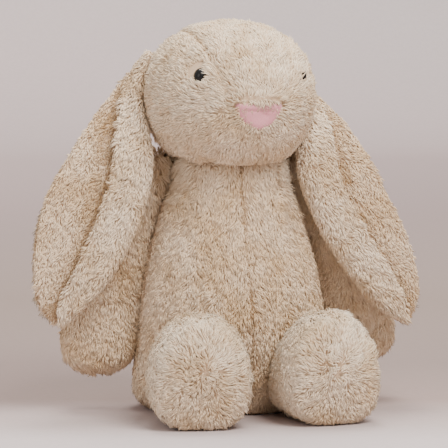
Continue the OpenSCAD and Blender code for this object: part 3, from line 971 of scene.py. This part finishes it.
for number, side in enumerate(SIDES):
    arm_seams, leg_seams = seams[f"arm_{side}"], seams[f"leg_{side}"]
    grow(forms[f"arm_{side}"], [f"arm_front_{side}", f"arm_back_{side}"], None, PILE,
         down, shoulder_lift, 300 + 50 * number, blend=shoulder_blend[side], seams=arm_seams,
         scale=shoulder_full)
    sole_middle = np.mean(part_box(f"sole_{side}"), axis=0)

    def leg_lay(roots, normals, middle=sole_middle):
        """Out from the sole's middle on the sole, and forwards and down on the rest."""
        radial = (roots - middle) / SOLE_TURN
        radial[:, 1] *= 0.3
        facing = np.clip(-normals[:, 1], 0, 1)[:, None]
        along = np.tile(LEG_ALONG, (len(roots), 1))
        return radial * facing + along * (1 - facing)

    def leg_lift(roots, middle=sole_middle):
        """The pile stands up in the middle of the sole."""
        far = np.linalg.norm((roots - middle) * [1, 0.5, 1], axis=1)
        return LEG_LIFT + SOLE_LIFT * np.exp(-(far / SOLE_REACH) ** 2)

    grow(forms[f"leg_{side}"], [f"leg_inner_{side}", f"leg_outer_{side}", f"sole_{side}"], None,
         PILE_PAINTED_LIT, leg_lay, leg_lift, 400 + 50 * number, blend=hip_blend[side],
         seams=leg_seams, scale=floor_short, length=LEG_LENGTH)

    ear_tree = tree_of(f"ear_outer_{side}", f"ear_lining_{side}")
    ear_along = np.array([SIDE_SIGN[side] * EAR_OUTWARDS, 0.0, EAR_DOWN])
    for layer in ("outer", "lining"):
        node_name = f"ear_{layer}_{side}"
        other_tree = tree_of(f"ear_{'lining' if layer == 'outer' else 'outer'}_{side}")

        def ear_keep(roots, normals, tree=other_tree):
            """Leaves out roots on the face that lies against the other layer."""
            good = []
            for p, n in zip(roots, normals):
                hit = tree.ray_cast(Vector(p) + Vector(n) * LAYER_START, Vector(n), LAYER_GAP)
                good.append(hit[0] is None)
            return np.array(good)

        def ear_crowd(roots, normals, tree=ear_tree, inwards=-SIDE_SIGN[side]):
            """How much of the light from the fold's side the flap keeps off each root."""
            total = np.zeros(len(roots))
            for share in FLAP_TILTS:
                ways = unit(normals * math.sqrt(1 - share * share) + np.array([inwards, 0, 0.3]) * share)
                for i, (p, way) in enumerate(zip(roots, ways)):
                    start = Vector(p) + Vector(normals[i]) * MM
                    total[i] += tree.ray_cast(start, Vector(way), FLAP_REACH)[0] is not None
            return total / len(FLAP_TILTS)

        def ear_lay(roots, normals, along=ear_along):
            return np.tile(along, (len(roots), 1))

        def ear_scale(roots, normals, root_z=ear_blend[side][2].z):
            """Shorter pile round the leaf's rim, and where the ear joins the head."""
            rim = EAR_RIM_SHARE + (1 - EAR_RIM_SHARE) * np.abs(normals[:, 1])
            above = (roots[:, 2] - root_z + 20 * MM) / EAR_ROOT_SPAN
            return rim * np.clip(1.3 - above, EAR_ROOT_SHARE, 1)

        # The ear's outer layer takes the paler, painted-light copy of the pile, and its shaded lining the
        # plain pile
        grow(ear_forms[node_name], [node_name], None, PILE_PAINTED_LIT if layer == "outer" else PILE,
             ear_lay, EAR_LIFT, 500 + 50 * number + (20 if layer == "outer" else 0),
             keep=ear_keep, blend=ear_blend[side], length=EAR_LENGTH[layer],
             spacing=EAR_SPACING, crowd=ear_crowd, scale=ear_scale)

grow(forms["tail"], ["tail_skin"], "torso", PILE_PAINTED_LIT, down, TAIL_LIFT, 700,
     keep=lambda roots, normals: roots[:, 1] > TAIL_FROM)

# ---- Floor, light and camera ----

FLOOR_HALF = 3.0
BACK_Y = 3.8
CURVE = 0.8
CURVE_STEPS = 12
WALL_TOP = 3.0

# Colour of the paper at each distance behind the rabbit, along the camera's line of sight: painted shadow
# in a dark band round and just behind the rabbit, and painted light growing paler towards the far wall
PAPER_NEAR, PAPER_FAR = -0.2, 3.8
PAPER_SHADE_AND_LIGHT = [(-0.17, (0.58, 0.50, 0.49)), (-0.1, (0.49, 0.405, 0.385)), (-0.02, (0.42, 0.335, 0.315)),
         (0.03, (0.33, 0.25, 0.225)), (0.25, (0.28, 0.215, 0.195)), (0.75, (0.31, 0.24, 0.21)),
         (1.8, (0.50, 0.39, 0.37)), (3.0, (0.74, 0.61, 0.59)), (3.5, (0.94, 0.80, 0.78)),
         (3.8, (1.0, 0.89, 0.87))]


def backdrop_material():
    """Matt paper, its colour changing from the front to the back: painted shadow round the rabbit and
    painted light towards the far wall.
    """
    made, nodes, links, shader = material("backdrop_painted_light")
    place = nodes.new("ShaderNodeTexCoord")
    along = nodes.new("ShaderNodeVectorMath")
    along.operation = "DOT_PRODUCT"
    turn = math.radians(CAMERA_AZIMUTH)
    along.inputs[1].default_value = (-math.sin(turn), math.cos(turn), 0.0)
    links.new(place.outputs["Object"], along.inputs[0])
    depth = nodes.new("ShaderNodeMapRange")
    depth.inputs["From Min"].default_value = PAPER_NEAR
    depth.inputs["From Max"].default_value = PAPER_FAR
    links.new(along.outputs["Value"], depth.inputs["Value"])
    # Painted shadow and painted light, by depth along the line of sight
    paper = ramp(nodes, [((at - PAPER_NEAR) / (PAPER_FAR - PAPER_NEAR), tint) for at, tint in PAPER_SHADE_AND_LIGHT])
    links.new(depth.outputs["Result"], paper.inputs["Fac"])
    grain = noise_node(nodes, links, 160.0, 4.0, 0.6)
    grain_ramp = ramp(nodes, [(0.3, (0.95, 0.94, 0.94)), (0.7, (1.0, 1.0, 1.0))])
    links.new(grain.outputs["Fac"], grain_ramp.inputs["Fac"])
    links.new(multiply(nodes, links, paper.outputs["Color"], grain_ramp.outputs["Color"]),
              shader.inputs["Base Color"])
    shader.inputs["Roughness"].default_value = 0.9
    shader.inputs["Specular IOR Level"].default_value = 0.1
    return made


def backdrop():
    """Floor that curves up into a plain wall."""
    profile = [(-FLOOR_HALF, 0.0), (BACK_Y - CURVE, 0.0)]
    for k in range(1, CURVE_STEPS + 1):
        a = math.pi / 2 * k / CURVE_STEPS
        profile.append((BACK_Y - CURVE + CURVE * math.sin(a), CURVE - CURVE * math.cos(a)))
    profile.append((BACK_Y, WALL_TOP))
    points = [(x, y, z) for y, z in profile for x in (-FLOOR_HALF, FLOOR_HALF)]
    faces = [(2 * i, 2 * i + 1, 2 * i + 3, 2 * i + 2) for i in range(len(profile) - 1)]
    mesh = bpy.data.meshes.new("backdrop")
    mesh.from_pydata(points, [], faces)
    mesh.shade_smooth()
    thing = add_object("backdrop", mesh)
    thing.data.materials.append(backdrop_material())


def area_light(name, place, aim, size, power, colour):
    light = bpy.data.lights.new(name, "AREA")
    light.shape = "DISK"
    light.size = size
    light.energy = power
    light.color = colour
    thing = bpy.data.objects.new(name, light)
    thing.location = place
    thing.rotation_mode = "QUATERNION"
    thing.rotation_quaternion = (Vector(aim) - Vector(place)).to_track_quat("-Z", "Y")
    bpy.context.scene.collection.objects.link(thing)


backdrop()
area_light("key", (0.45, -1.2, 1.7), (0, 0, 0.16), 1.2, 52.0, (1.0, 0.98, 0.95))
area_light("fill", (-1.4, -1.2, 0.9), (0, 0, 0.15), 1.3, 9.0, (1.0, 0.98, 0.97))
area_light("wall", (0, 2.2, 1.5), (0, BACK_Y, 0.3), 1.6, 9.0, (1.0, 0.99, 0.98))
area_light("top", (0.1, 0.5, 1.8), (0, 0, 0.2), 1.0, 36.0, (1.0, 0.99, 0.97))

world = bpy.context.scene.world or bpy.data.worlds.new("world")
bpy.context.scene.world = world
world.use_nodes = True
world.node_tree.nodes["Background"].inputs["Color"].default_value = (1.0, 0.985, 0.97, 1)
world.node_tree.nodes["Background"].inputs["Strength"].default_value = 0.75

camera = bpy.data.objects.new("camera", bpy.data.cameras.new("camera"))
azimuth, elevation = math.radians(CAMERA_AZIMUTH), math.radians(CAMERA_ELEVATION)
back = Vector((math.sin(azimuth) * math.cos(elevation), -math.cos(azimuth) * math.cos(elevation),
               math.sin(elevation)))
camera.location = CAMERA_AIM + back * CAMERA_DISTANCE
camera.rotation_mode = "QUATERNION"
camera.rotation_quaternion = (-back).to_track_quat("-Z", "Y")
camera.data.sensor_width = SENSOR
camera.data.lens = SENSOR * CAMERA_DISTANCE / VIEW_WIDTH
bpy.context.scene.collection.objects.link(camera)
bpy.context.scene.camera = camera
